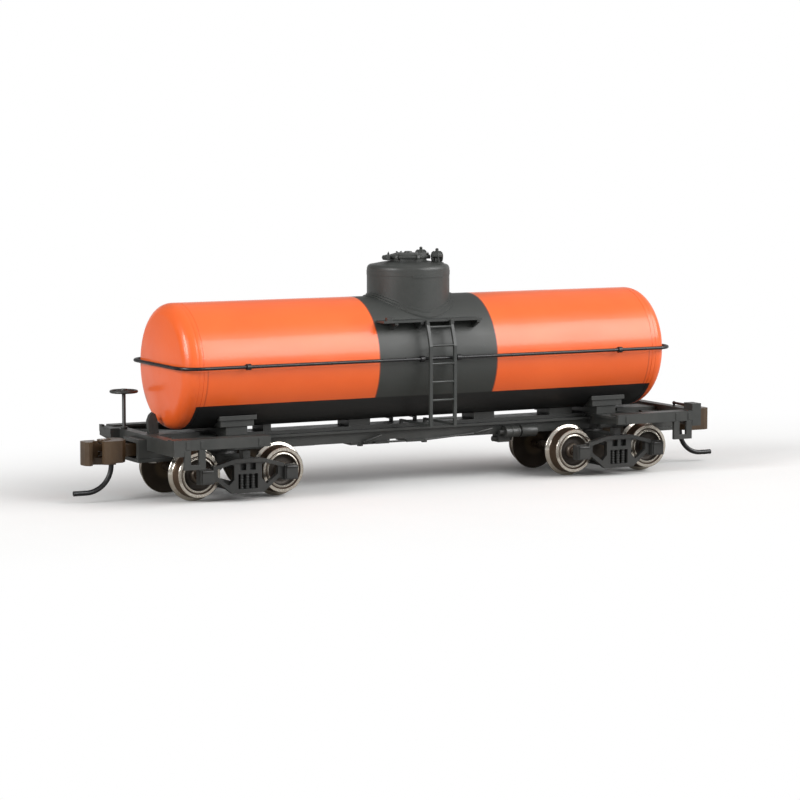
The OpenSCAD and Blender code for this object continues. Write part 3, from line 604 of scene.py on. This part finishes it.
def slab(bm, outline, thick, place):
    """Adds a flat plate in millimetres, whose outline lies in the place's xz plane."""
    front = [bm.verts.new(place @ Vector((x, -thick / 2, z)) * MM) for x, z in outline]
    rear = [bm.verts.new(place @ Vector((x, thick / 2, z)) * MM) for x, z in outline]
    bm.faces.new(front)
    bm.faces.new(rear[::-1])
    for i in range(len(outline)):
        bm.faces.new((front[i - 1], rear[i - 1], rear[i], front[i]))


def around(x, y, z, turn):
    """A frame in millimetres at a point, turned by an angle in degrees about the vertical."""
    return Matrix.Translation((x, y, z)) @ Matrix.Rotation(math.radians(turn), 4, "Z")


VALVE = ((0, 0), (0.8, 0), (0.8, 0.2), (0.5, 0.28), (0.4, 0.42), (0.38, 0.72), (0.5, 0.8), (0.7, 0.86),
         (0.74, 0.95), (0.74, 1.12), (0.66, 1.24), (0.5, 1.4), (0.24, 1.55), (0.17, 1.62), (0.2, 1.74),
         (0.14, 1.86), (0, 1.9))
VALVE_FIN = ((0.3, 0.22), (0.66, 0.3), (0.74, 0.6), (0.76, 1.0), (0.68, 1.36), (0.45, 1.56), (0.3, 1.5))
VALVE_IN = 0.85
FINE_BEVEL = 0.03


def valves():
    """Two spring-loaded safety valves: a waisted body, a round cap and upright fins."""
    lo, hi = mm_box("safety_valves")
    x, base = (lo.x + hi.x) / 2, lo.z
    for side, y in (("near", lo.y + VALVE_IN), ("far", hi.y - VALVE_IN)):
        lathe(f"valve_{side}", VALVE, place_at(x, y, base), "dome_paint", "safety_valves", 48)
        fins = bmesh.new()
        for turn in range(15, 375, 60):
            slab(fins, VALVE_FIN, 0.14, around(x, y, base, turn))
        piece = stand_in(fins, f"valve_fins_{side}", "dome_paint", "safety_valves")
        round_edges(piece, FINE_BEVEL, 30)


HATCH = ((0, 0), (2.2, 0), (2.2, 0.26), (2.24, 0.3), (2.4, 0.34), (2.42, 0.4), (2.42, 0.56), (2.38, 0.62),
         (2.2, 0.64), (2.12, 0.72), (1.7, 0.84), (1.0, 0.92), (0.5, 0.94), (0.45, 1.06), (0.38, 1.1),
         (0, 1.1))
LUG = ((2.0, 0.2), (2.62, 0.2), (2.66, 0.4), (2.6, 0.68), (2.0, 0.68))
NUT = ((-0.12, 0), (0.12, 0), (0.12, 0.2), (-0.12, 0.2))
EAR = ((0.04, 0), (0.34, 0.1), (0.42, 0.26), (0.34, 0.36), (0.2, 0.3), (0.04, 0.14))
HINGE_ARM = ((1.9, 0.3), (2.7, 0.08), (3.05, 0.1), (3.22, 0.3), (3.2, 0.56), (3.0, 0.72), (2.6, 0.74),
             (1.9, 0.62))
HINGE_BARREL = ((2.72, 0.1), (3.1, 0.1), (3.24, 0.35), (3.16, 0.6), (2.95, 0.68), (2.72, 0.6))


def hatch():
    """Domed hatch with a rim, swing bolts with wing nuts, and a hinge at the brake end."""
    lo, hi = mm_box("dome_hatch")
    dome_lo, dome_hi = mm_box("dome")
    x, y, base = (dome_lo.x + dome_hi.x) / 2, (lo.y + hi.y) / 2, lo.z
    lathe("hatch_cover", HATCH, place_at(x, y, base), "dome_paint", "dome_hatch", 96)
    fittings = bmesh.new()
    for turn in range(30, 390, 60):
        bolt = around(x, y, base, turn)
        slab(fittings, LUG, 0.3, bolt)
        nut = bolt @ around(2.34, 0, 0.66, 90)
        slab(fittings, NUT, 0.24, nut)
        slab(fittings, EAR, 0.09, nut)
        slab(fittings, EAR, 0.09, nut @ around(0, 0, 0, 180))
    hinge = around(x, y, base, 180)
    slab(fittings, HINGE_ARM, 0.34, hinge)
    slab(fittings, HINGE_BARREL, 1.15, hinge)
    round_edges(stand_in(fittings, "hatch_fittings", "dome_paint", "dome_hatch"), FINE_BEVEL, 30)


dress_cad()
for number in (1, 2, 3, 4):
    wheelset(number)
barrel()
valves()
hatch()

camera()
world()
floor()
for lamp in LAMPS:
    soft_box(*lamp)
bpy.context.scene.view_settings.view_transform = "Standard"
